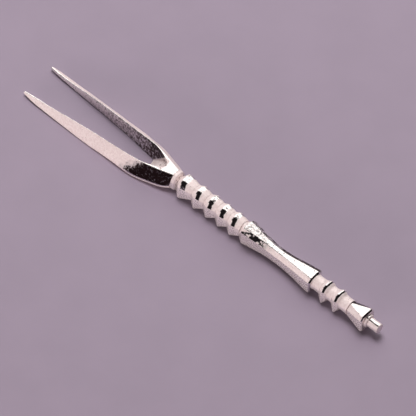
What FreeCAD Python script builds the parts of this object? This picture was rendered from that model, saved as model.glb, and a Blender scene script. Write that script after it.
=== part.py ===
import FreeCAD, Part
import math
import os

import Sketcher
from FreeCAD import Vector

# Two-tined toasting fork, in millimetres.
#
# The fork lies on Z = 0 with its length along X: the tail peg is at the -X end,
# the tine tips are at the +X end and the middle of its length is at X = 0.
# The handle is a stack of cast collars, beads and a long waisted grip, threaded
# on a straight round tang. The tang screws into the yoke of the forked head at
# the front, and the tail peg is the nut that clamps the stack from the back.
#
# Most handle pieces share one arched cross-section: a flat foot on the floor,
# upright sides, shoulders and a crown. The beads and rings have round shoulders
# cut in three flats, the grip and the pommel have straight ones. "drop" is
# measured down from the handle's axis and "rise" up from it.

DIMENSIONS = [
    ("axis_height", 12.0, "handle axis above the floor"),
    ("fork_length", 460.0, "tail end to tine tips"),
    # arched section at its full size
    ("arch_half", 10.2, "half width of the full section"),
    ("arch_drop", 12.0, "foot below the axis"),
    ("arch_rise", 10.5, "crown above the axis"),
    ("arch_shoulder", 1.0, "top of the upright sides above the axis"),
    ("arch_crown", 2.0, "half width of the crown"),
    ("arch_toe", 0.9, "chamfer along the foot"),
    # arched section of the beads, and the rounder valley between them
    ("bead_half", 10.5, "half width of beads 2 to 5"),
    ("bead_1_half", 11.0, "half width of bead 1"),
    ("bead_shoulder", -0.6, "top of the sides of beads 2 to 5 above the axis"),
    ("bead_1_shoulder", -1.5, "top of bead 1's sides above the axis"),
    ("bead_crown", 2.4, "half width of the crown of beads 2 to 5"),
    ("bead_1_crown", 3.6, "half width of bead 1's crown"),
    ("valley_half", 8.1, "half width of a valley"),
    ("valley_drop", 9.8, "valley below the axis"),
    ("valley_rise", 8.4, "valley above the axis"),
    ("valley_shoulder", 0.5, "top of a valley's sides above the axis"),
    ("valley_crown", 1.5, "half width of a valley's crown"),
    ("valley_toe", 4.8, "chamfer under a valley"),
    # tang and its bores
    ("tang_dia", 5.0, "diameter of the tang"),
    ("bore_dia", 5.1, "bore for the tang"),
    ("socket_depth", 9.0, "tang socket in the yoke"),
    ("tang_gap", 0.5, "tang stops short of the blind ends"),
    # tail peg and washer
    ("peg_dia", 10.4, "diameter of the tail peg"),
    ("peg_length", 13.0, "length of the tail peg"),
    ("peg_socket", 9.0, "tang socket in the peg"),
    ("peg_edge", 0.6, "chamfer on the peg's end"),
    ("washer_dia", 14.0, "diameter of the tail washer"),
    ("washer_thick", 3.0, "thickness of the tail washer"),
    ("washer_edge", 0.8, "chamfer on the washer's outer edge"),
    # pommel
    ("pommel_length", 22.4, "length of the pommel"),
    ("pommel_bevel", 1.8, "bevel at the tail end"),
    ("pommel_end_scale", 0.88, "end face as a share of the full section"),
    ("pommel_shoulder", 7.2, "upright sides of the wide end above the axis"),
    ("pommel_crown", 7.0, "half crown of the wide end"),
    ("pommel_neck_half", 6.7, "half width of the neck end"),
    ("pommel_neck_drop", 8.4, "neck end below the axis"),
    ("pommel_neck_rise", 7.4, "neck end above the axis"),
    ("pommel_neck_shoulder", 3.2, "top of the neck end's sides above the axis"),
    ("pommel_neck_crown", 0.9, "half crown of the neck end"),
    ("pommel_neck_toe", 3.5, "chamfer under the neck end"),
    # round concave spools between the rings
    ("spool_end_dia", 17.0, "spool diameter at its ends"),
    ("spool_waist_dia", 15.8, "spool diameter at its middle"),
    ("spool_1_length", 10.8, "spool between grip and ring 1"),
    ("spool_2_length", 7.4, "spool between the rings"),
    ("spool_3_length", 10.6, "spool between ring 2 and pommel"),
    # lens-shaped rings
    ("ring_thick", 9.0, "thickness of a ring at its foot"),
    ("ring_land", 1.2, "flat land on a ring's ridge"),
    # grip
    ("grip_length", 96.3, "length of the grip"),
    ("grip_nose", 4.8, "bevel at the grip's front end"),
    ("grip_heel", 1.8, "bevel at the grip's tail end"),
    ("grip_heel_scale", 0.86, "grip's tail face as a share of the full section"),
    ("grip_waist_at", 49.0, "waist from the grip's tail end"),
    ("grip_waist_half", 6.7, "half width at the waist"),
    ("grip_waist_drop", 9.6, "waist below the axis"),
    ("grip_waist_rise", 5.6, "waist above the axis"),
    ("grip_mid_half", 8.2, "half width half way to each end"),
    ("grip_mid_drop", 10.5, "half way to each end, below the axis"),
    ("grip_mid_rise", 8.1, "half way to the front end, above the axis"),
    ("grip_rear_mid_rise", 7.1, "half way to the tail end, above the axis"),
    ("grip_tail_rise", 9.2, "tail end above the axis"),
    ("grip_mid_span", 25.0, "from the waist to the half way sections"),
    ("grip_shoulder_drop", 3.1, "crown to the top of the sides"),
    ("grip_crown_inset", 4.5, "side to the edge of the crown"),
    ("grip_toe", 1.5, "chamfer along the grip's foot"),
    # beads, counted from the yoke; ridge is measured from the bead's tail face
    ("bead_5_length", 16.5, "bead 5, next to the grip"),
    ("bead_5_ridge", 11.1, "ridge of bead 5"),
    ("bead_4_length", 15.8, "bead 4"),
    ("bead_4_ridge", 9.9, "ridge of bead 4"),
    ("bead_3_length", 16.1, "bead 3"),
    ("bead_3_ridge", 10.1, "ridge of bead 3"),
    ("bead_2_length", 16.1, "bead 2"),
    ("bead_2_ridge", 10.7, "ridge of bead 2"),
    ("bead_1_length", 21.0, "bead 1, next to the collar"),
    ("bead_1_ridge", 14.6, "ridge of bead 1"),
    ("bead_land", 1.4, "flat land on the ridge of beads 2 to 5"),
    ("bead_1_land", 2.4, "flat land on bead 1"),
    # collar between bead 1 and the yoke
    ("collar_length", 6.0, "length of the collar"),
    ("collar_flare", 2.3, "from the neck to the collar's rim"),
    ("rim_half", 9.6, "half width of the rim"),
    ("rim_drop", 10.0, "rim below the axis"),
    ("rim_rise", 8.4, "rim above the axis"),
    ("rim_side_drop", 5.0, "top of the rim's sides below the axis"),
    ("rim_crown", 3.4, "half width of the rim's crown"),
    ("rim_toe", 3.0, "chamfer under the rim"),
    # neck between bead 1 and the collar, the slimmest place on the fork
    ("neck_half", 6.6, "half width of the neck"),
    ("neck_drop", 11.0, "neck below the axis"),
    ("neck_rise", 4.6, "neck above the axis"),
    ("neck_side_drop", 6.0, "top of the neck's sides below the axis"),
    ("neck_crown", 1.5, "half width of the neck's crown"),
    ("neck_toe", 1.0, "chamfer under the neck"),
    # forked head
    ("head_length", 187.0, "yoke face to tine tips"),
    ("cheek_across", 0.93, "bulge of the outer face, as a share from ridge to widest line"),
    ("cheek_down", 0.86, "the same bulge, as a share of the drop to the widest line"),
]

# Outside of the head from yoke to tips: place along the head, then half widths
# across the ridges, at the widest line and at the foot, then the ridge's height
# above the axis and the depths of the widest line and the foot below it.
HEAD_STATIONS = [
    (0.0, 4.4, 11.0, 8.0, 8.0, 5.0, 10.0),
    (6.7, 5.9, 14.6, 11.0, 8.1, 7.4, 10.4),
    (17.2, 8.7, 18.0, 15.2, 7.5, 8.6, 11.2),
    (32.7, 12.2, 21.8, 19.4, 6.9, 9.8, 11.7),
    (58.7, 13.9, 23.8, 21.8, 4.9, 9.6, 11.9),
    (89.2, 15.6, 24.3, 23.1, 2.9, 10.6, 11.95),
    (127.2, 17.3, 24.2, 23.3, -1.0, 10.9, 11.6),
    (160.2, 18.6, 23.9, 23.1, -5.5, 10.3, 10.9),
    (187.0, 20.6, 21.9, 21.7, -7.3, 8.4, 8.9),
]

# Cutter between the tines: place along the head, half width at the top of the
# cutter, half width at its floor, floor height from the axis. In the crotch the
# floor ramps down through the yoke; further out it stays below the tines.
CROTCH_STATIONS = [
    (13.5, 0.5, 0.4, 8.6),
    (14.1, 3.0, 1.8, 7.2),
    (15.5, 5.0, 3.0, 6.0),
    (18.5, 7.2, 4.2, 3.6),
    (23.5, 9.7, 5.2, -0.2),
    (29.5, 12.0, 6.0, -5.0),
    (37.5, 13.8, 6.7, -12.0),
]
GAP_STATIONS = [
    (37.5, 13.8, 6.7, -12.0),
    (52.5, 15.0, 8.3, -14.0),
    (72.5, 16.0, 10.7, -14.0),
    (96.5, 17.0, 12.6, -14.0),
    (126.5, 19.0, 14.6, -14.0),
    (161.5, 21.8, 15.9, -14.0),
    (202.5, 26.5, 19.9, -14.0),
]
GAP_TOP = 12.0
GAP_FLOOR_SAG = 1.4

doc = FreeCAD.newDocument("ToastingFork")
sheet = doc.addObject("Spreadsheet::Sheet", "Dims")


def put_dimension(row, alias, value, meaning):
    """Write one dimension on its own row of the sheet."""
    sheet.set("A%d" % row, meaning)
    sheet.set("B%d" % row, repr(float(value)))
    sheet.setAlias("B%d" % row, alias)


def station_rows(prefix, fields, stations):
    """Name each number of a station table so that sketches can bind to it."""
    rows = []
    for index, station in enumerate(stations):
        for field, value in zip(fields, station):
            alias = "%s_%s_%s" % (prefix, LETTERS[index], field)
            rows.append((alias, value, "%s station %d, %s" % (prefix, index + 1, field)))
    return rows


LETTERS = "abcdefghijkl"
HEAD_LETTERS = LETTERS[:len(HEAD_STATIONS)]
GAP_LETTERS = LETTERS[:len(GAP_STATIONS)]
CROTCH_LETTERS = LETTERS[:len(CROTCH_STATIONS)]
HEAD_FIELDS = ("place", "ridge", "wide", "foot", "rise", "wide_drop", "drop")
GAP_FIELDS = ("place", "top", "floor", "height")
ALL_ROWS = (
    DIMENSIONS
    + station_rows("head", HEAD_FIELDS, HEAD_STATIONS)
    + station_rows("crotch", GAP_FIELDS, CROTCH_STATIONS)
    + station_rows("gap", GAP_FIELDS, GAP_STATIONS)
    + [("gap_top", GAP_TOP, "top of the gap cutter above the axis")]
    + [("gap_sag", GAP_FLOOR_SAG, "sag of the gap cutter's floor")]
)
for number, (alias, value, meaning) in enumerate(ALL_ROWS, start=1):
    put_dimension(number, alias, value, meaning)
doc.recompute()

TAIL_X = "-Dims.fork_length / 2"

# Corners on a shoulder between the sides and the crown, as shares of its width and
# height: at 30 and 60 degrees on a round one, none on a straight one.
ROUND_SHOULDER = [(0.866, 0.5), (0.5, 0.866)]
STRAIGHT_SHOULDER = []


def minus(expression):
    return "-(%s)" % expression


def scale_by(expression, factor):
    return "(%s) * %s" % (expression, factor)


# ---------------------------------------------------------------- sections
def arched(half, drop, rise, shoulder, crown, toe, cuts=ROUND_SHOULDER):
    """Corners of an arched section as pairs of expressions (across, up)."""
    side_foot = "%s - (%s)" % (toe, drop)
    right = [(half, side_foot), (half, shoulder)]
    for across_share, up_share in cuts:
        right.append((
            "%s + (%s - (%s)) * %s" % (crown, half, crown, across_share),
            "%s + (%s - (%s)) * %s" % (shoulder, rise, shoulder, up_share),
        ))
    right.append((crown, rise))
    left = [(minus(across), up) for across, up in reversed(right)]
    bottom = [
        ("%s - (%s)" % (toe, half), minus(drop)),
        ("%s - (%s)" % (half, toe), minus(drop)),
    ]
    return right + left + bottom


def scaled(corners, factor):
    """The same section, drawn in towards the axis."""
    return [(scale_by(across, factor), scale_by(up, factor)) for across, up in corners]


def full_arch():
    """The handle's common section, on the ridges of the rings."""
    return arched(
        "Dims.arch_half",
        "Dims.arch_drop",
        "Dims.arch_rise",
        "Dims.arch_shoulder",
        "Dims.arch_crown",
        "Dims.arch_toe",
    )


def valley_outline(cuts=ROUND_SHOULDER):
    """The rounder section in the valleys between beads and beside the rings."""
    return arched(
        "Dims.valley_half",
        "Dims.valley_drop",
        "Dims.valley_rise",
        "Dims.valley_shoulder",
        "Dims.valley_crown",
        "Dims.valley_toe",
        cuts,
    )


def neck_outline():
    """The slim section between bead 1 and the collar."""
    return arched(
        "Dims.neck_half",
        "Dims.neck_drop",
        "Dims.neck_rise",
        "-Dims.neck_side_drop",
        "Dims.neck_crown",
        "Dims.neck_toe",
    )


def grip_arch(half, drop, rise):
    """Section of the grip: a broad crown between straight sloping shoulders."""
    return arched(
        half,
        drop,
        rise,
        "%s - Dims.grip_shoulder_drop" % rise,
        "%s - Dims.grip_crown_inset" % half,
        "Dims.grip_toe",
        STRAIGHT_SHOULDER,
    )


# ---------------------------------------------------------------- bodies
def new_body(name, place):
    """A body on the handle axis whose own X = 0 lies at place on the fork."""
    body = doc.addObject("PartDesign::Body", name)
    body.Label = name
    body.setExpression("Placement.Base.x", place)
    body.setExpression("Placement.Base.z", "Dims.axis_height")
    return body


def origin_plane(body, role):
    return [plane for plane in body.Origin.OriginFeatures if plane.Role == role][0]


def new_sketch(body, name, role, offset=None):
    sketch = body.newObject("Sketcher::SketchObject", name)
    sketch.AttachmentSupport = [(origin_plane(body, role), "")]
    sketch.MapMode = "FlatFace"
    if offset:
        sketch.setExpression("AttachmentOffset.Base.z", offset)
    return sketch


def pin_point(sketch, line, across, up):
    """Hold the start of a line at a place given by two expressions."""
    for kind, axis, expression in (("DistanceX", -2, across), ("DistanceY", -1, up)):
        if expression == "0":
            sketch.addConstraint(Sketcher.Constraint("PointOnObject", line, 1, axis))
            continue
        index = sketch.addConstraint(Sketcher.Constraint(kind, -1, 1, line, 1, 1.0))
        sketch.setExpression("Constraints[%d]" % index, expression)


def closed_outline(sketch, corners):
    """Straight-sided closed outline through corners given as expressions."""
    count = len(corners)
    rough = []
    for index in range(count):
        turn = 2 * math.pi * index / count
        rough.append(Vector(math.cos(turn), math.sin(turn), 0))
    for index in range(count):
        sketch.addGeometry(Part.LineSegment(rough[index], rough[(index + 1) % count]))
    for index in range(count):
        following = (index + 1) % count
        sketch.addConstraint(Sketcher.Constraint("Coincident", index, 2, following, 1))
    for index, (across, up) in enumerate(corners):
        pin_point(sketch, index, across, up)


def cross_section(body, name, place, corners):
    """Outline square to the fork, at place along the body's own X."""
    sketch = new_sketch(body, name, "YZ_Plane", place)
    closed_outline(sketch, corners)
    return sketch


def add_loft(body, name, sketches, ruled, kind="PartDesign::AdditiveLoft"):
    loft = body.newObject(kind, name)
    loft.Profile = (sketches[0], [""])
    loft.Sections = [(sketch, [""]) for sketch in sketches[1:]]
    loft.Ruled = ruled
    return loft


def add_round_hole(body, name, diameter, depth=None, place=None):
    """Round hole along +X from place, through everything unless depth is given."""
    sketch = new_sketch(body, name + "_sketch", "YZ_Plane", place)
    sketch.addGeometry(Part.Circle(Vector(0, 0, 0), Vector(0, 0, 1), 1.0))
    sketch.addConstraint(Sketcher.Constraint("Coincident", 0, 3, -1, 1))
    index = sketch.addConstraint(Sketcher.Constraint("Diameter", 0, 2.0))
    sketch.setExpression("Constraints[%d]" % index, diameter)
    hole = body.newObject("PartDesign::Pocket", name)
    hole.Profile = sketch
    hole.Reversed = True
    if depth:
        hole.setExpression("Length", depth)
    else:
        hole.Type = "ThroughAll"
    return hole


def add_round_bar(body, name, diameter, length):
    """Round bar from the body's origin along +X."""
    sketch = new_sketch(body, name + "_sketch", "YZ_Plane")
    sketch.addGeometry(Part.Circle(Vector(0, 0, 0), Vector(0, 0, 1), 1.0))
    sketch.addConstraint(Sketcher.Constraint("Coincident", 0, 3, -1, 1))
    index = sketch.addConstraint(Sketcher.Constraint("Diameter", 0, 2.0))
    sketch.setExpression("Constraints[%d]" % index, diameter)
    bar = body.newObject("PartDesign::Pad", name)
    bar.Profile = sketch
    bar.setExpression("Length", length)
    return bar


def add_turned(body, name, corners):
    """Piece turned about the handle axis from corners given as (along, radius)."""
    sketch = new_sketch(body, name + "_sketch", "XZ_Plane")
    closed_outline(sketch, corners)
    turned = body.newObject("PartDesign::Revolution", name)
    turned.Profile = sketch
    turned.ReferenceAxis = (sketch, ["H_Axis"])
    turned.Angle = 360.0
    return turned


# ---------------------------------------------------------------- tail pieces
def make_peg(place):
    """Plain round nut on the end of the tang, closed at the tail."""
    body = new_body("tang_nut", place)
    socket_end = "Dims.peg_length - Dims.peg_socket"
    add_turned(body, "peg", [
        ("0", "0"),
        (socket_end, "0"),
        (socket_end, "Dims.bore_dia / 2"),
        ("Dims.peg_length", "Dims.bore_dia / 2"),
        ("Dims.peg_length", "Dims.peg_dia / 2"),
        ("Dims.peg_edge", "Dims.peg_dia / 2"),
        ("0", "Dims.peg_dia / 2 - Dims.peg_edge"),
    ])
    return body


def make_washer(place):
    """Thin round boss between the peg and the pommel, bevelled towards the tail."""
    body = new_body("tail_washer", place)
    edge = "Dims.washer_dia / 2 - Dims.washer_edge"
    add_turned(body, "washer", [
        ("0", "Dims.bore_dia / 2"),
        ("Dims.washer_thick", "Dims.bore_dia / 2"),
        ("Dims.washer_thick", "Dims.washer_dia / 2"),
        ("Dims.washer_edge", "Dims.washer_dia / 2"),
        ("0", edge),
    ])
    return body


def make_pommel(place):
    """Square block that narrows to an eight-sided neck, bevelled at the tail."""
    body = new_body("pommel", place)
    wide = arched(
        "Dims.arch_half",
        "Dims.arch_drop",
        "Dims.arch_rise",
        "Dims.pommel_shoulder",
        "Dims.pommel_crown",
        "Dims.grip_toe",
        STRAIGHT_SHOULDER,
    )
    neck = arched(
        "Dims.pommel_neck_half",
        "Dims.pommel_neck_drop",
        "Dims.pommel_neck_rise",
        "Dims.pommel_neck_shoulder",
        "Dims.pommel_neck_crown",
        "Dims.pommel_neck_toe",
        STRAIGHT_SHOULDER,
    )
    sketches = [
        cross_section(body, "pommel_end", None, scaled(wide, "Dims.pommel_end_scale")),
        cross_section(body, "pommel_wide", "Dims.pommel_bevel", wide),
        cross_section(body, "pommel_neck", "Dims.pommel_length", neck),
    ]
    add_loft(body, "pommel_block", sketches, True)
    add_round_hole(body, "pommel_bore", "Dims.bore_dia")
    return body


# ---------------------------------------------------------------- stack pieces
def make_spool(number, place):
    """Round concave neck between two square pieces."""
    name = "spool_%d" % number
    body = new_body(name, place)
    length = "Dims.%s_length" % name
    add_turned(body, "turning", [
        ("0", "Dims.bore_dia / 2"),
        (length, "Dims.bore_dia / 2"),
        (length, "Dims.spool_end_dia / 2"),
        ("%s * 0.8" % length, "Dims.spool_waist_dia / 2"),
        ("%s * 0.2" % length, "Dims.spool_waist_dia / 2"),
        ("0", "Dims.spool_end_dia / 2"),
    ])
    return body


def make_ridged(name, place, length, ridge, land, crest_outline, front_outline):
    """Piece that rises from both its faces to a ridge with a flat land."""
    body = new_body(name, place)
    land_rear = "%s - %s / 2" % (ridge, land)
    land_front = "%s + %s / 2" % (ridge, land)
    rear_valley = cross_section(body, "rear_valley", None, valley_outline())
    rear_ridge = cross_section(body, "rear_ridge", land_rear, crest_outline)
    front_ridge = cross_section(body, "front_ridge", land_front, crest_outline)
    front_valley = cross_section(body, "front_valley", length, front_outline)
    crest = body.newObject("PartDesign::Pad", "land")
    crest.Profile = rear_ridge
    crest.setExpression("Length", land)
    add_loft(body, "rear_slope", [rear_valley, rear_ridge], True)
    add_loft(body, "front_slope", [front_ridge, front_valley], True)
    add_round_hole(body, "bore", "Dims.bore_dia")
    return body


def make_ring(number, place):
    return make_ridged(
        "ring_%d" % number,
        place,
        "Dims.ring_thick",
        "Dims.ring_thick / 2",
        "Dims.ring_land",
        full_arch(),
        valley_outline(),
    )


def make_bead(number, place):
    family = "bead_1" if number == 1 else "bead"
    crest_outline = arched(
        "Dims.%s_half" % family,
        "Dims.arch_drop",
        "Dims.arch_rise",
        "Dims.%s_shoulder" % family,
        "Dims.%s_crown" % family,
        "Dims.arch_toe",
    )
    return make_ridged(
        "bead_%d" % number,
        place,
        "Dims.bead_%d_length" % number,
        "Dims.bead_%d_ridge" % number,
        "Dims.%s_land" % family,
        crest_outline,
        neck_outline() if number == 1 else valley_outline(),
    )


def make_grip(place):
    """Long grip with a broad crown, waisted in width and in height."""
    body = new_body("grip", place)
    front = ("Dims.arch_half", "Dims.arch_drop", "Dims.arch_rise")
    tail = ("Dims.arch_half", "Dims.arch_drop", "Dims.grip_tail_rise")
    front_middle = ("Dims.grip_mid_half", "Dims.grip_mid_drop", "Dims.grip_mid_rise")
    rear_middle = ("Dims.grip_mid_half", "Dims.grip_mid_drop", "Dims.grip_rear_mid_rise")
    waist = ("Dims.grip_waist_half", "Dims.grip_waist_drop", "Dims.grip_waist_rise")
    nose_start = "Dims.grip_length - Dims.grip_nose"
    stations = [
        ("tail", "Dims.grip_heel", tail),
        ("rear_middle", "Dims.grip_waist_at - Dims.grip_mid_span", rear_middle),
        ("waist", "Dims.grip_waist_at", waist),
        ("front_middle", "Dims.grip_waist_at + Dims.grip_mid_span", front_middle),
        ("front", nose_start, front),
    ]
    sketches = [cross_section(body, "grip_" + name, where, grip_arch(*sizes))
                for name, where, sizes in stations]
    add_loft(body, "grip_bar", sketches, False)
    heel = grip_arch(*tail)
    heel_tip = cross_section(body, "heel_tip", None, scaled(heel, "Dims.grip_heel_scale"))
    heel_front = cross_section(body, "heel_front", "Dims.grip_heel", heel)
    add_loft(body, "grip_heel", [heel_tip, heel_front], True)
    nose_rear = cross_section(body, "nose_rear", nose_start, grip_arch(*front))
    nose_tip = cross_section(body, "nose_tip", "Dims.grip_length",
                             valley_outline(STRAIGHT_SHOULDER))
    add_loft(body, "grip_nose", [nose_rear, nose_tip], True)
    add_round_hole(body, "grip_bore", "Dims.bore_dia")
    return body


def make_collar(place):
    """Collar that flares from the slim neck to a rim against the yoke."""
    body = new_body("front_collar", place)
    rim = arched(
        "Dims.rim_half",
        "Dims.rim_drop",
        "Dims.rim_rise",
        "-Dims.rim_side_drop",
        "Dims.rim_crown",
        "Dims.rim_toe",
    )
    sketches = [
        cross_section(body, "collar_neck", None, neck_outline()),
        cross_section(body, "collar_rim", "Dims.collar_flare", rim),
        cross_section(body, "collar_face", "Dims.collar_length", rim),
    ]
    add_loft(body, "collar_flare", sketches, True)
    add_round_hole(body, "collar_bore", "Dims.bore_dia")
    return body


# ---------------------------------------------------------------- forked head
def head_outline(letter):
    """Outside corners of the head at one station."""
    ridge, wide, foot, rise, wide_drop, drop = [
        "Dims.head_%s_%s" % (letter, field) for field in HEAD_FIELDS[1:]
    ]
    cheek = "%s + (%s - %s) * Dims.cheek_across" % (ridge, wide, ridge)
    cheek_height = "%s - (%s + %s) * Dims.cheek_down" % (rise, rise, wide_drop)
    return [
        (wide, minus(wide_drop)),
        (cheek, cheek_height),
        (ridge, rise),
        (minus(ridge), rise),
        (minus(cheek), cheek_height),
        (minus(wide), minus(wide_drop)),
        (minus(foot), minus(drop)),
        (foot, minus(drop)),
    ]


def gap_outline(station):
    """Corners of the gap cutter at one station, with a sagging floor."""
    top = "Dims.%s_top" % station
    floor = "Dims.%s_floor" % station
    height = "Dims.%s_height" % station
    return [
        (top, "Dims.gap_top"),
        (minus(top), "Dims.gap_top"),
        (minus(floor), height),
        ("0", "%s - Dims.gap_sag" % height),
        (floor, height),
    ]


def gap_sections(body, prefix, letters):
    sketches = []
    for letter in letters:
        station = "%s_%s" % (prefix, letter)
        place = "Dims.%s_place" % station
        sketches.append(cross_section(body, station, place, gap_outline(station)))
    return sketches


def make_head(place):
    """Yoke and two tapering tines in one casting, with a ramp in the crotch."""
    body = new_body("fork_head", place)
    outside = [cross_section(body, "head_" + letter, "Dims.head_%s_place" % letter,
                             head_outline(letter))
               for letter in HEAD_LETTERS]
    add_loft(body, "head_outside", outside, False)
    crotch = gap_sections(body, "crotch", CROTCH_LETTERS)
    add_loft(body, "crotch_ramp", crotch, True, "PartDesign::SubtractiveLoft")
    gap = gap_sections(body, "gap", GAP_LETTERS)
    add_loft(body, "tine_gap", gap, False, "PartDesign::SubtractiveLoft")
    add_round_hole(body, "head_bore", "Dims.bore_dia", "Dims.socket_depth")
    return body


def make_tang(place, length):
    """Straight round rod from the peg's socket to the yoke's socket."""
    body = new_body("tang_rod", place)
    add_round_bar(body, "rod", "Dims.tang_dia", length)
    return body


# ---------------------------------------------------------------- assembly
STACK = [
    ("Dims.peg_length", make_peg),
    ("Dims.washer_thick", make_washer),
    ("Dims.pommel_length", make_pommel),
    ("Dims.spool_3_length", lambda place: make_spool(3, place)),
    ("Dims.ring_thick", lambda place: make_ring(2, place)),
    ("Dims.spool_2_length", lambda place: make_spool(2, place)),
    ("Dims.ring_thick", lambda place: make_ring(1, place)),
    ("Dims.spool_1_length", lambda place: make_spool(1, place)),
    ("Dims.grip_length", make_grip),
    ("Dims.bead_5_length", lambda place: make_bead(5, place)),
    ("Dims.bead_4_length", lambda place: make_bead(4, place)),
    ("Dims.bead_3_length", lambda place: make_bead(3, place)),
    ("Dims.bead_2_length", lambda place: make_bead(2, place)),
    ("Dims.bead_1_length", lambda place: make_bead(1, place)),
    ("Dims.collar_length", make_collar),
    ("Dims.head_length", make_head),
]

pieces = []
reach = TAIL_X
for length, make in STACK:
    pieces.append(make(reach))
    reach = "%s + %s" % (reach, length)

tang_from = "Dims.peg_length - Dims.peg_socket + Dims.tang_gap"
tang_to = "Dims.fork_length - Dims.head_length + Dims.socket_depth - Dims.tang_gap"
tang_start = "%s + %s" % (TAIL_X, tang_from)
pieces.append(make_tang(tang_start, "%s - (%s)" % (tang_to, tang_from)))

doc.recompute()


def check_piece(piece):
    """Stop if a piece did not build into one sound solid."""
    for item in piece.Group + [piece]:
        if "Invalid" in item.State or "Error" in item.State:
            raise RuntimeError("%s: %s is %s" % (piece.Label, item.Name, item.State))
    shape = piece.Shape
    if shape.isNull() or not shape.isValid() or len(shape.Solids) != 1:
        raise RuntimeError("%s has no single valid solid" % piece.Label)


os.makedirs("parts", exist_ok=True)
for piece in pieces:
    check_piece(piece)
for piece in pieces:
    piece.Shape.exportStep(os.path.join("parts", piece.Label + ".step"))
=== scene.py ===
"""Toasting fork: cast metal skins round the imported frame, one pale floor and soft studio light.

Metres, in the frame of the CAD model: +X towards the tines, +Z up, floor at z = 0. The +Y side
of the fork is called near, because the camera stands on that side, and the -Y side far.
"""
import math
import random
from collections import namedtuple

import bpy
import numpy as np
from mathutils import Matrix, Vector, kdtree, noise


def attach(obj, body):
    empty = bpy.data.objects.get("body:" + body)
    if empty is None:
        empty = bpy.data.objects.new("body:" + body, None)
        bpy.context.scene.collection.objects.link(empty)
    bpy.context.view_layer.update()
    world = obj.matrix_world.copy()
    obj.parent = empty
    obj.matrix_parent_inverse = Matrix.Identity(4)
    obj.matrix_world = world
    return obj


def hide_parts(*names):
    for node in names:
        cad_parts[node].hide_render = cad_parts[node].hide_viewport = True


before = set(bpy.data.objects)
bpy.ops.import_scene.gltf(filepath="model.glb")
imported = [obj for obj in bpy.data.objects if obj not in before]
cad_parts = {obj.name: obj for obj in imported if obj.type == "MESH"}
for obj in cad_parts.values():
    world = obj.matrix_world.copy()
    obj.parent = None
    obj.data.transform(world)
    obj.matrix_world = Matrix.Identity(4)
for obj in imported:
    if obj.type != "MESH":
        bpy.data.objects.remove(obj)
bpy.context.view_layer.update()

MM = 0.001
BODY = "root"

# ---------------------------------------------------------------- skins
# How one kind of casting gets its skin: the cell of its even mesh, the rounds of edge softening,
# its dents as (height, size) in mm, its pits as (how many, radii, depths), slot and material.
Kind = namedtuple("Kind", "cell rounds dents pits slot material")
SOFTENING = 0.5
# Pits are only in faces that look up at least this much.
PITS_FACE_UP = 0.3
# Each seed moves the noise on by this much, in units of its bumps.
NOISE_STRIDE = (7.31, 3.17, 5.71)


def vectors(items, field):
    out = np.empty(len(items) * 3, dtype=np.float32)
    items.foreach_get(field, out)
    return out.reshape(-1, 3)


def ends(node):
    """The x of a CAD node's rear and front ends."""
    x = vectors(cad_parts[node].data.vertices, "co")[:, 0]
    return float(x.min()), float(x.max())


def even_mesh(node, kind):
    """A copy of a CAD node's shape with even faces and slightly soft edges."""
    obj = bpy.data.objects.new("skin_" + node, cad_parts[node].data.copy())
    bpy.context.scene.collection.objects.link(obj)
    cells = obj.modifiers.new("cells", "REMESH")
    cells.mode = "VOXEL"
    cells.voxel_size = kind.cell
    soften = obj.modifiers.new("soften", "SMOOTH")
    soften.factor = SOFTENING
    soften.iterations = kind.rounds
    graph = bpy.context.evaluated_depsgraph_get()
    mesh = bpy.data.meshes.new_from_object(obj.evaluated_get(graph))
    obj.modifiers.clear()
    obj.data = mesh
    mesh.materials.clear()
    mesh.name = obj.name
    return obj


def swell(points, size, seed):
    """Smooth noise from -1 to 1 at each point, with bumps of the given size in metres."""
    shift = Vector([seed * stride for stride in NOISE_STRIDE])
    return np.array([noise.noise(Vector(p) / size + shift) for p in points.tolist()])


def pitted(points, allowed, count, radii, depths):
    """Depth of small shrinkage pits, scattered over the points that are allowed."""
    lowered = np.zeros(len(points))
    centres = np.flatnonzero(allowed)
    if not len(centres):
        return lowered
    tree = kdtree.KDTree(len(points))
    for i, p in enumerate(points.tolist()):
        tree.insert(p, i)
    tree.balance()
    for _ in range(count):
        centre = points[random.choice(centres.tolist())]
        radius = random.uniform(*radii)
        depth = random.uniform(*depths)
        for _, i, away in tree.find_range(centre.tolist(), radius):
            lowered[i] = max(lowered[i], depth * (1 - (away / radius) ** 2) ** 2)
    return lowered


def cast_skin(node, kind, finish):
    """The visible skin of one casting: even mesh, hand-finished dents, pits and finish masks."""
    obj = even_mesh(node, kind)
    mesh = obj.data
    co, normal = vectors(mesh.vertices, "co"), vectors(mesh.vertex_normals, "vector")
    push = np.zeros(len(co))
    for seed, (height, size) in enumerate(kind.dents):
        push += height * MM * swell(co, size * MM, seed + len(node))
    push -= pitted(co, normal[:, 2] > PITS_FACE_UP, *kind.pits)
    mesh.vertices.foreach_set("co", (co + normal * push[:, None]).astype(np.float32).ravel())
    mesh.update()
    mesh.shade_smooth()
    # The second mask is dark colour: real dirt, and also painted shade and a painted dark reflection.
    for name, values in zip(("frosted", "stain_and_shade"), finish(co, normal)):
        mask = mesh.attributes.new(name, "FLOAT", "POINT")
        mask.data.foreach_set("value", values.astype(np.float32))
    mesh.materials.append(kind.material)
    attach(obj, BODY)
    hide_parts(node)


# ------------------------------------------------------- shader building
def node_tree(material):
    material.use_nodes = True
    tree = material.node_tree
    tree.nodes.clear()
    return tree


def plug(tree, socket, value):
    """Links another node's output to the socket, or sets the socket's own value."""
    if isinstance(value, bpy.types.NodeSocket):
        tree.links.new(value, socket)
    else:
        socket.default_value = value


def add(tree, kind, values=None, **settings):
    made = tree.nodes.new(kind)
    for key, value in settings.items():
        setattr(made, key, value)
    for key, value in (values or {}).items():
        plug(tree, made.inputs[key], value)
    return made


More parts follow.
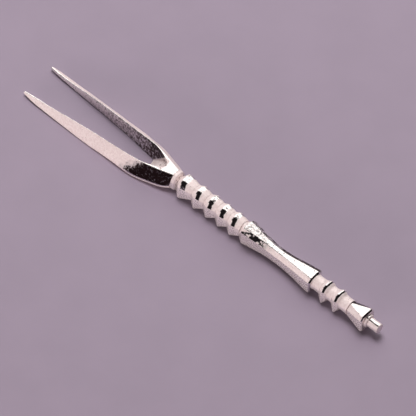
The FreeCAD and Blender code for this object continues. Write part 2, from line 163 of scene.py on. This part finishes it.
def ramp(tree, fac, low, high, to_low=0.0, to_high=1.0):
    """The factor from low to high as a smooth step from to_low to to_high."""
    return add(tree, "ShaderNodeMapRange",
               {"Value": fac, "From Min": low, "From Max": high,
                "To Min": to_low, "To Max": to_high}, interpolation_type="SMOOTHSTEP").outputs[0]


def blend_colour(tree, fac, a, b):
    # Sockets 6 and 7 and output 2 are the colour ones of a Mix node.
    return add(tree, "ShaderNodeMix", {0: fac, 6: a, 7: b}, data_type="RGBA").outputs[2]


def noise_at(tree, place, size_mm, detail=3.0, rough=0.55):
    return add(tree, "ShaderNodeTexNoise",
               {"Vector": place, "Scale": 1 / (size_mm * MM), "Detail": detail,
                "Roughness": rough}).outputs[0]


def attribute(tree, name):
    return add(tree, "ShaderNodeAttribute", attribute_name=name).outputs["Fac"]


def math_node(tree, operation, a, b):
    return add(tree, "ShaderNodeMath", {0: a, 1: b}, operation=operation).outputs[0]


def times(tree, a, b):
    return math_node(tree, "MULTIPLY", a, b)


def plus(tree, a, b):
    return math_node(tree, "ADD", a, b)


def surface(tree, colour, metallic, roughness, height, strength, distance):
    """Principled shader on the material's output, with a bump from the height."""
    bump = add(tree, "ShaderNodeBump",
               {"Height": height, "Strength": strength, "Distance": distance})
    shader = add(tree, "ShaderNodeBsdfPrincipled",
                 {"Base Color": colour, "Metallic": metallic, "Roughness": roughness,
                  "Normal": bump.outputs[0]})
    add(tree, "ShaderNodeOutputMaterial", {"Surface": shader.outputs[0]})


# ------------------------------------------------------------ materials
BRIGHT = (0.94, 0.90, 0.88, 1)
DULL = (0.87, 0.825, 0.81, 1)
FROST_PALE = (1.0, 0.885, 0.855, 1)
FROST_DEEP = (0.86, 0.715, 0.69, 1)
# The dark colour is that of real dirt and stain, and also of painted shade in the hollows and of a
# painted dark reflection on the near cheek.
DARK_STAIN_AND_SHADE = (0.075, 0.047, 0.042, 1)

# Sizes in mm of the clouding of the polish, its fine grain, the mottle and the pinholes' spacing.
CLOUD, GRAIN, MOTTLE, PINHOLES = 6.0, 1.1, 2.2, 2.4
# The stretch of a noise that a mottle or a clouding spans: noise values bunch round 0.5.
MIDDLE, CLOUD_MIDDLE = (0.3, 0.7), (0.35, 0.65)
# Radius of a pinhole in parts of their spacing, from its floor to its rim.
PINHOLE_RIM = (0.08, 0.24)
PINHOLE_CLUSTERS = (0.50, 0.60)
PINHOLE_DARK, PINHOLE_DEEP = 0.5, 0.25
# How much further the dark colour spreads where its mask is 1, and the mottle that it starts from.
DARK_SPREAD = 0.30
DARK_FROM = (0.68, 0.90)
# What full frost takes off the mirror of the metal, and what frost and the mask of stain and shade
# add in roughness.
FROST_DULLS, FROST_ROUGHENS, STAIN_AND_SHADE_ROUGHENS = 0.72, 0.36, 0.12
# Height of the bumps of the matte places, on the same scale as the grain's.
MATTE_HEIGHT = 0.7


def cast_finish(name, grain_height, polish):
    """White metal polished on its high places and left frosted, as cast, in the low ones.

    The mesh attribute frosted is 0 where a polishing wheel reached and 1 where it did not;
    the mask of stain and shade is 1 where the dark colour lies in patches, and more where it
    leaves only specks of metal. It is real dirt at the seams and in spots, painted shade in the
    hollows, a painted dark reflection on the near cheek, and darker far shoulders on the grip
    and pommel. polish is the roughness of the polished places, from and to.
    """
    material = bpy.data.materials.new(name)
    tree = node_tree(material)
    place = add(tree, "ShaderNodeTexCoord").outputs["Object"]
    frosted, stain_and_shade = attribute(tree, "frosted"), attribute(tree, "stain_and_shade")
    cloud = noise_at(tree, place, CLOUD)
    grain = noise_at(tree, place, GRAIN, 4.0)
    mottle = noise_at(tree, place, MOTTLE, 5.0, 0.7)
    pinhole = pinholes(tree, place, cloud)

    polished = blend_colour(tree, ramp(tree, cloud, *CLOUD_MIDDLE), BRIGHT, DULL)
    frost = blend_colour(tree, ramp(tree, mottle, *MIDDLE), FROST_PALE, FROST_DEEP)
    colour = blend_colour(tree, frosted, polished, frost)
    # Pinholes and the mask of stain and shade darken the colour: real dirt in places, painted shade
    # and a painted dark reflection in others.
    colour = blend_colour(tree, times(tree, pinhole, PINHOLE_DARK), colour, DARK_STAIN_AND_SHADE)
    colour = blend_colour(tree, stain_and_shade_cover(tree, stain_and_shade, mottle), colour, DARK_STAIN_AND_SHADE)

    roughness = plus(tree, ramp(tree, grain, *MIDDLE, *polish),
                     times(tree, frosted, FROST_ROUGHENS))
    roughness = plus(tree, roughness, times(tree, stain_and_shade, STAIN_AND_SHADE_ROUGHENS))
    metallic = math_node(tree, "SUBTRACT", 1.0, times(tree, frosted, FROST_DULLS))
    matte = math_node(tree, "MINIMUM", plus(tree, frosted, stain_and_shade), 1.0)
    height = plus(tree, times(tree, grain, grain_height),
                  times(tree, times(tree, matte, mottle), MATTE_HEIGHT))
    height = math_node(tree, "SUBTRACT", height, times(tree, pinhole, PINHOLE_DEEP))
    surface(tree, colour, metallic, roughness, height, strength=0.5, distance=0.5 * MM)
    return material


def pinholes(tree, place, cloud):
    """1 in the pinholes, which come in clusters where the cloud is dense."""
    away = add(tree, "ShaderNodeTexVoronoi", {"Vector": place, "Scale": 1 / (PINHOLES * MM)},
               feature="F1").outputs["Distance"]
    return times(tree, ramp(tree, away, *PINHOLE_RIM, 1.0, 0.0), ramp(tree, cloud, *PINHOLE_CLUSTERS))


def stain_and_shade_cover(tree, stain_and_shade, mottle):
    """1 where the dark colour lies, spreading from the dense mottle as its mask grows: real dirt in
    places, painted shade and a painted dark reflection in others.
    """
    spread = plus(tree, mottle, times(tree, stain_and_shade, DARK_SPREAD))
    return times(tree, math_node(tree, "MINIMUM", stain_and_shade, 1.0), ramp(tree, spread, *DARK_FROM))


# The tang: steel colours, roughness, size of its stains and spacing of its die lines in mm, and
# how much the lines' pattern is squeezed along each axis, so that it runs lengthwise.
STEEL, RUST_STAIN = (0.50, 0.50, 0.51, 1), (0.31, 0.27, 0.24, 1)
STEEL_ROUGHNESS = (0.28, 0.42)
STEEL_STAINS, DIE_LINES = 9.0, 0.35
DRAWN_OUT = (0.04, 1.0, 1.0)


def drawn_steel(name):
    """The hidden tang: drawn steel rod with fine lengthwise die lines and faint brown stain."""
    material = bpy.data.materials.new(name)
    tree = node_tree(material)
    place = add(tree, "ShaderNodeTexCoord").outputs["Object"]
    along = add(tree, "ShaderNodeVectorMath", {0: place, 1: DRAWN_OUT},
                operation="MULTIPLY").outputs[0]
    line = noise_at(tree, along, DIE_LINES, 4.0)
    stain = ramp(tree, noise_at(tree, place, STEEL_STAINS), 0.4, 0.7)
    surface(tree, blend_colour(tree, stain, STEEL, RUST_STAIN), 1.0,
            ramp(tree, line, *MIDDLE, *STEEL_ROUGHNESS), line, strength=0.3, distance=0.1 * MM)
    return material


# ------------------------------------------------- where each finish goes
# Each function named ..._finish gives the frosted mask and the mask of stain and shade of one
# kind of piece. A pair of values is the two ends of a soft change, from none to full. up is how
# far a face looks up, from 0 on an upright face to 1 on a level one, and side how far to the
# near side, from -1 to 1.
CROWN = (0.86, 0.95)
SIDE_FACE = (0.50, 0.34)
HELD_FACE = (0.45, 0.10)
SIDE_FROST, SHOULDER_FROST, RUBBED_OFF = 0.8, 0.9, 0.55
SEAM_WIDTH = 0.8 * MM
GROOVE_REACH = (2.5 * MM, 0.8 * MM)
GROOVE_AT = ends("bead_1")[1]
# How strong the painted shade in the groove between bead 1 and the collar is.
GROOVE_SHADE = 0.8


def step(values, low, high):
    """Smooth step of an array from 0 at low to 1 at high; low may be the larger."""
    t = np.clip((values - low) / (high - low), 0, 1)
    return t * t * (3 - 2 * t)


def groove(x):
    """1 in the groove between bead 1 and the collar, 0 elsewhere on the handle."""
    return step(np.abs(x - GROOVE_AT), *GROOVE_REACH)


def seam(x):
    """1 in the narrow band of dirt beside each end of a piece."""
    from_end = np.minimum(x - x.min(), x.max() - x)
    return step(from_end, SEAM_WIDTH, 0.3 * SEAM_WIDTH)


def side_frost(up):
    """The upright sides get less polishing than the top."""
    return SIDE_FROST * step(up, *SIDE_FACE)


def handled(frosted, up):
    """The low sides of the handle are rubbed brighter by hands, so less of the frost is left."""
    return frosted * (1 - RUBBED_OFF * step(up, *HELD_FACE))


# The head, in mm ahead of its rear end. The cheeks of the yoke end in a ragged line that leans.
HEAD_REAR = ends("fork_head")[0]
CHEEK_END, CHEEK_MIDDLE, CHEEK_LEAN = (35, 51), 12, 1.2
GAP_START = (15, 19)
CROTCH_START, CROTCH_END, CROTCH_HALF_WIDTH = (13, 15), (49, 45), (7.5, 6.0)
# The first pair is where the painted shade at the rear of the crotch fades out.
CROTCH_SHADED, GAP_HAZY = (29, 21), (52, 87)
# Painted shade on the walls of the gap, deepening towards the crotch, as (how much, where it sets
# in).
GAP_SHADE = ((0.75, (182, 117)), (0.25, (117, 52)), (0.3, (57, 32)))
# How far a face looks away from the fork's middle plane, or into the gap, or to the near side.
OUTER_FACE, GAP_FACE, NEAR_FACE = (0.30, 0.55), (0.25, 0.55), (0.0, 0.2)
# The bevel under the tines looks out and hardly up, and the cheek with the painted dark reflection
# looks up more.
BEVEL_OUT, BEVEL_UP, CHEEK_UP = (0.2, 0.4), (0.30, 0.16), (0.30, 0.40)
BEVEL_FROST, FAR_CHEEK_FROST, GAP_HAZE = 0.9, 0.9, 0.30
# How strong the painted dark reflection on the near cheek is, and the painted shade at the rear of
# the crotch.
CHEEK_DARK_REFLECTION, CROTCH_SHADE = 1.45, 0.75


def head_finish(co, normal):
    """Frosted outer faces and crotch; a painted dark reflection on the near cheek, painted shade on
    the walls of the gap and at the rear of the crotch.
    """
    ahead = (co[:, 0] - HEAD_REAR) / MM
    side, up = normal[:, 1], normal[:, 2]
    outward = np.sign(co[:, 1]) * side
    ragged = 5 * swell(co, 3 * MM, 3) + 3 * swell(co, 1.5 * MM, 9)
    leaning = (co[:, 2] / MM - CHEEK_MIDDLE) * CHEEK_LEAN
    on_tine = step(ahead + ragged + leaning, *CHEEK_END)
    outer, near = step(outward, *OUTER_FACE), step(side, *NEAR_FACE)
    bevel = step(outward, *BEVEL_OUT) * step(up, *BEVEL_UP)
    cheek = outer * (1 - on_tine)
    gap = step(-outward, *GAP_FACE) * step(ahead, *GAP_START)
    crotch = step(np.abs(co[:, 1]) / MM, *CROTCH_HALF_WIDTH)
    crotch = crotch * step(ahead, *CROTCH_START) * step(ahead, *CROTCH_END)
    frosted = np.maximum.reduce([outer * on_tine, crotch, BEVEL_FROST * bevel,
                                 FAR_CHEEK_FROST * cheek * (1 - near),
                                 GAP_HAZE * gap * step(ahead, *GAP_HAZY)])
    # Painted shade on the walls of the gap, between the tines.
    wall = gap * (1 - crotch) * sum(much * step(ahead, *where) for much, where in GAP_SHADE)
    # Painted dark reflection on the near side of the cheek, the side towards the camera.
    near_cheek = CHEEK_DARK_REFLECTION * cheek * near * step(up, *CHEEK_UP)
    # Painted shade at the rear of the crotch, where it meets the yoke.
    shaded_crotch = CROTCH_SHADE * crotch * step(ahead, *CROTCH_SHADED)
    return frosted, np.maximum.reduce([wall, near_cheek, shaded_crotch])


# A ridged piece is polished in a band round its ridge, which is what lies within depth of its
# top. The band runs from reach behind the ridge, less lower on the sides, to land ahead of it,
# and crown_land more on the crown. fade is how softly it ends behind and ahead, ragged and bump
# the height and size of its wobble. All in mm, but for the wobble's seed.
Ridge = namedtuple("Ridge", "depth reach lower land crown_land fade ragged bump seed")
# A bead longer than this has the longer band.
LONG_BEAD_FROM = 18 * MM
BEAD_RIDGE = Ridge(0.3, 3.4, 1.2, -0.7, 1.6, (1.4, 0.7), 0.6, 3, 5)
LONG_BEAD_RIDGE = BEAD_RIDGE._replace(reach=4.6)
RING_RIDGE = Ridge(0.25, 2.0, 0.0, -0.3, 1.0, (0.8, 0.5), 0.3, 2, 6)
# The band reaches its place on the sides this far below the top.
BAND_DROP = 6 * MM
RIDGE_FROST, BEAD_SEAM, RING_SEAM = 0.95, 0.55, 0.45


def ridge_frost(co, up, ridge):
    """Frosted slopes and sides up to a polished band along the ridge."""
    x, top = co[:, 0], co[:, 2].max()
    at = x[co[:, 2] > top - ridge.depth * MM].mean()
    ragged = ridge.ragged * MM * swell(co, ridge.bump * MM, ridge.seed)
    lower = ridge.lower * MM * step(co[:, 2], top, top - BAND_DROP)
    reach = ridge.reach * MM
    behind = step(at - x - lower + ragged, reach, reach + ridge.fade[0] * MM)
    land = at + (ridge.land + ridge.crown_land * step(up, *CROWN)) * MM
    ahead = step(x + 0.3 * lower + ragged, land, land + ridge.fade[1] * MM)
    return RIDGE_FROST * np.maximum.reduce([behind, ahead, side_frost(up)])


def bead_finish(co, normal):
    """Polished crown, and a polished spot on each shoulder just behind the ridge."""
    x, up = co[:, 0], normal[:, 2]
    ridge = LONG_BEAD_RIDGE if x.max() - x.min() > LONG_BEAD_FROM else BEAD_RIDGE
    # Painted shade in the groove, and real dirt at the seams.
    stain_and_shade = np.maximum(GROOVE_SHADE * groove(x), BEAD_SEAM * seam(x))
    return handled(ridge_frost(co, up, ridge), up), stain_and_shade


def ring_finish(co, normal):
    """Frosted slopes up to a narrow polished ridge."""
    up = normal[:, 2]
    return handled(ridge_frost(co, up, RING_RIDGE), up), RING_SEAM * seam(co[:, 0])


# The grip, in mm behind its front end, or ahead of its rear end.
GRIP_REAR, GRIP_FRONT = ends("grip")
NOSE, NOSE_DIRT, HEEL = (4.8, 3.5), (1.1, 0.4), (2.3, 1.5)
# The last two pairs give where the far shoulder is darkened towards the tail.
SPECKLES_END, FAR_DARK_START, FAR_DARK_STOP = (26.5, 38.5), (36.5, 51.5), (-0.2, 2.3)
SPOTS_THICKEN = (51.5, 11.5)
# The polished strip of the near shoulder is low at the front and widens over this length.
STRIP_START, STRIP_LENGTH, STRIP_DROP, STRIP_FADE = 3.5, 18, 2.6 * MM, 0.8 * MM
GRIP_SHOULDER, GRIP_TOP, FAR_FACE = (0.35, 0.5), (0.90, 0.96), (0.0, -0.2)
# Blotches of frost on the strip: their size, and the stretch of the noise where they are.
BLOTCH, BLOTCH_EDGE = 2.5 * MM, (0.15, 0.40)
# The last is how much the far shoulder is darkened.
SPECKLE_FROST, NOSE_FROST, NOSE_STAIN, FAR_SHOULDER_DARKENING = 0.8, 0.9, 0.9, 1.3
SPOT_STAIN, SPOT_STAIN_MORE = 0.45, 0.25


def grip_finish(co, normal):
    """Polished top and heel; towards the tail the near shoulder is frosted, the far darkened."""
    behind, ahead = (GRIP_FRONT - co[:, 0]) / MM, (co[:, 0] - GRIP_REAR) / MM
    up = normal[:, 2]
    shoulder = step(up, *GRIP_SHOULDER) * (1 - step(up, *CROWN))
    far = step(normal[:, 1], *FAR_FACE)
    blotch = swell(co, BLOTCH, 4)
    past_speckles = step(behind - 10 * blotch, *SPECKLES_END)
    speckle = SPECKLE_FROST * step(blotch, *BLOTCH_EDGE)
    narrowed = STRIP_DROP * (1 - np.clip((behind - STRIP_START) / STRIP_LENGTH, 0, 1))
    strip_top = co[shoulder > 0.5, 2].max() - narrowed
    above = step(co[:, 2] + 0.6 * MM * blotch, strip_top, strip_top + STRIP_FADE)
    frosted = shoulder * np.maximum.reduce([past_speckles, speckle, above]) * (1 - far)
    frosted = np.maximum.reduce([frosted, side_frost(up), NOSE_FROST * step(behind, *NOSE)])
    heel = step(ahead, *HEEL)
    # The far shoulder towards the tail is made darker with the dark colour.
    far_darkened = shoulder * far * step(behind, *FAR_DARK_START) * step(ahead, *FAR_DARK_STOP)
    spots = SPOT_STAIN + SPOT_STAIN_MORE * step(behind, *SPOTS_THICKEN)
    stain_and_shade = np.maximum.reduce([FAR_SHOULDER_DARKENING * far_darkened, step(up, *GRIP_TOP) * spots * (1 - heel),
                                 NOSE_STAIN * step(behind, *NOSE_DIRT)])
    return handled(frosted * (1 - heel), up), stain_and_shade


# The pommel, in mm ahead of its rear end.
POMMEL_REAR = ends("pommel")[0]
# The second pair is where the far shoulder is darkened.
POMMEL_HEEL, POMMEL_FAR_DARK_SPAN = (1.7, 0.9), (1.5, 12.0)
HEEL_UP, NEAR_SHOULDER, FAR_SHOULDER = (0.1, 0.3), (0.1, 0.3), (-0.2, -0.35)
FAR_SHOULDER_UP, FAR_SHOULDER_TOP = (0.3, 0.5), (0.95, 0.88)
# How much the far shoulder is darkened.
POMMEL_FAR_DARKENING = 1.5


def pommel_finish(co, normal):
    """Polished crown and heel, darkened far shoulder, frosted near shoulder and sides."""
    ahead = (co[:, 0] - POMMEL_REAR) / MM
    side, up = normal[:, 1], normal[:, 2]
    near = SHOULDER_FROST * (1 - step(up, *CROWN)) * step(side, *NEAR_SHOULDER)
    far = step(up, *FAR_SHOULDER_UP) * step(up, *FAR_SHOULDER_TOP) * step(side, *FAR_SHOULDER)
    heel = step(ahead, *POMMEL_HEEL) * step(up, *HEEL_UP)
    frosted = np.maximum(near, side_frost(up)) * (1 - heel)
    # The far shoulder is made darker with the dark colour.
    return handled(frosted, up), POMMEL_FAR_DARKENING * far * step(ahead, *POMMEL_FAR_DARK_SPAN)


PEG_SIDE = (0.95, 0.90)
PEG_FROST, PEG_SEAM, SPOOL_FROST = 0.9, 0.5, 0.92


def peg_finish(co, normal):
    """Polished top, frosted below, dirt at both ends."""
    up = normal[:, 2]
    return handled(PEG_FROST * step(up, *PEG_SIDE), up), PEG_SEAM * seam(co[:, 0])


def frosted_finish(co, normal):
    """As cast all over, with painted shade only in the groove between bead 1 and the collar."""
    return handled(np.full(len(co), SPOOL_FROST), normal[:, 2]), GROOVE_SHADE * groove(co[:, 0])


# ---------------------------------------------------------- the castings
CAST = cast_finish("cast_metal", 0.25, (0.10, 0.18))
TURNED = cast_finish("turned_metal", 0.15, (0.12, 0.20))

HEAD_PITS = (40, (0.7 * MM, 1.3 * MM), (0.10 * MM, 0.28 * MM))
GRIP_PITS = (45, (0.8 * MM, 1.5 * MM), (0.12 * MM, 0.32 * MM))
BLOCK_PITS = (5, (0.7 * MM, 1.2 * MM), (0.08 * MM, 0.2 * MM))
NO_PITS = (0, (0, 0), (0, 0))
BLOCK_DENTS = [(0.18, 7.0), (0.05, 2.4)]

HEAD_KIND = Kind(0.45 * MM, 4, [(0.25, 16.0), (0.08, 4.5), (0.04, 1.8)], HEAD_PITS,
                 "bright_cast", CAST)
GRIP_KIND = Kind(0.40 * MM, 5, [(0.25, 14.0), (0.12, 4.0), (0.05, 1.8)], GRIP_PITS,
                 "bright_cast", CAST)
BLOCK_KIND = Kind(0.40 * MM, 4, BLOCK_DENTS, BLOCK_PITS, "bright_cast", CAST)
RING_KIND = Kind(0.35 * MM, 3, BLOCK_DENTS, NO_PITS, "bright_cast", CAST)
TURNED_KIND = Kind(0.35 * MM, 3, [(0.10, 6.0), (0.04, 2.0)], NO_PITS, "bright_turned", TURNED)

random.seed(7)
cast_skin("fork_head", HEAD_KIND, head_finish)
cast_skin("grip", GRIP_KIND, grip_finish)
for bead in ("bead_1", "bead_2", "bead_3", "bead_4", "bead_5"):
    cast_skin(bead, BLOCK_KIND, bead_finish)
cast_skin("pommel", BLOCK_KIND, pommel_finish)
for ring in ("ring_1", "ring_2"):
    cast_skin(ring, RING_KIND, ring_finish)
for turned in ("front_collar", "spool_1", "spool_2", "spool_3"):
    cast_skin(turned, TURNED_KIND, frosted_finish)
for turned in ("tail_washer", "tang_nut"):
    cast_skin(turned, TURNED_KIND, peg_finish)

steel = drawn_steel("tang_steel_finish")
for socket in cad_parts["tang_rod"].material_slots:
    socket.material = steel

# ------------------------------------------------------------- the floor
FLOOR_HALF = 8.0
# The floor is this far below the fork's foot, so that the two faces never share a plane.
FLOOR_DROP = 0.05 * MM
CARD_COLOUR = (0.320, 0.262, 0.331, 1)
CARD_DARKER = (0.307, 0.252, 0.318, 1)
CARD_ROUGHNESS = 0.55
# Sizes in mm of the card's wide tone and of its tooth.
CARD_TONE, CARD_TOOTH = 60.0, 1.6


def mauve_card():
    """Matte card with a faint wide tone and the fine tooth of paper."""
    card = bpy.data.materials.new("mauve_card")
    tree = node_tree(card)
    place = add(tree, "ShaderNodeTexCoord").outputs["Object"]
    tone = ramp(tree, noise_at(tree, place, CARD_TONE), *MIDDLE)
    tooth = noise_at(tree, place, CARD_TOOTH, 4.0)
    surface(tree, blend_colour(tree, tone, CARD_COLOUR, CARD_DARKER), 0.0, CARD_ROUGHNESS, tooth,
            strength=0.12, distance=0.2 * MM)
    return card


corners = [(FLOOR_HALF * x, FLOOR_HALF * y, 0) for x, y in ((-1, -1), (1, -1), (1, 1), (-1, 1))]
floor_mesh = bpy.data.meshes.new("floor")
floor_mesh.from_pydata(corners, [], [(0, 1, 2, 3)])
floor_mesh.materials.append(mauve_card())
floor = bpy.data.objects.new("floor", floor_mesh)
floor.location.z = -FLOOR_DROP
bpy.context.scene.collection.objects.link(floor)

# ---------------------------------------------------------------- camera
LOOK_AT = Vector((-0.0055, 0.0061, 0.012))
AZIMUTH, ELEVATION = math.radians(222.25), math.radians(55.0)
# Half the width of what the camera sees at the fork, in metres; lens and sensor are in mm.
VIEW_HALF = 0.2072
LENS, SENSOR = 1400.0, 36.0
TO_CAMERA = Vector((math.sin(AZIMUTH) * math.cos(ELEVATION),
                    -math.cos(AZIMUTH) * math.cos(ELEVATION), math.sin(ELEVATION)))

camera = bpy.data.objects.new("camera", bpy.data.cameras.new("camera"))
camera.data.lens = LENS
camera.data.sensor_width = SENSOR
camera.data.clip_end = 30.0
camera.location = LOOK_AT + TO_CAMERA * (VIEW_HALF * LENS / (SENSOR / 2))
camera.rotation_mode = "QUATERNION"
camera.rotation_quaternion = (-TO_CAMERA).to_track_quat("-Z", "Y")
bpy.context.scene.collection.objects.link(camera)
bpy.context.scene.camera = camera

# ----------------------------------------------------------------- light
# Directions from the fork: to the camera's right, level and away from it, and up.
TO_RIGHT = Vector((math.cos(AZIMUTH), math.sin(AZIMUTH), 0))
AWAY = Vector((-math.sin(AZIMUTH), math.cos(AZIMUTH), 0))
UP = Vector((0, 0, 1))
LAMP_DISTANCE = 3.2
ROOM = (0.010, 0.008, 0.009, 1)


def seen(right, away, up):
    return TO_RIGHT * right + AWAY * away + UP * up


def softbox(name, towards, size, power, colour, in_reflections):
    """Rectangular soft light facing the fork, hidden from the camera."""
    lamp = bpy.data.lights.new(name, "AREA")
    lamp.shape = "RECTANGLE"
    lamp.size, lamp.size_y = size
    lamp.energy = power
    lamp.color = colour
    obj = bpy.data.objects.new(name, lamp)
    direction = towards.normalized()
    obj.location = direction * LAMP_DISTANCE
    obj.rotation_mode = "QUATERNION"
    obj.rotation_quaternion = direction.to_track_quat("Z", "Y")
    obj.visible_camera = False
    obj.visible_glossy = in_reflections
    bpy.context.scene.collection.objects.link(obj)


softbox("window", seen(0.150, 0.710, 0.690), size=(3.9, 3.1), power=56.0,
        colour=(1.0, 0.965, 0.95), in_reflections=True)
softbox("overhead", seen(0.0, 0.30, 0.954), size=(1.5, 1.5), power=84.0,
        colour=(1.0, 0.96, 0.98), in_reflections=False)
softbox("low_fill", seen(-0.62, -0.78, 0.12), size=(4.0, 0.8), power=112.0,
        colour=(1.0, 0.91, 0.90), in_reflections=False)

world = bpy.data.worlds.new("studio")
bpy.context.scene.world = world
room = node_tree(world)
backdrop = add(room, "ShaderNodeBackground", {"Color": ROOM, "Strength": 1.0})
add(room, "ShaderNodeOutputWorld", {"Surface": backdrop.outputs[0]})
bpy.context.scene.view_settings.view_transform = "Standard"
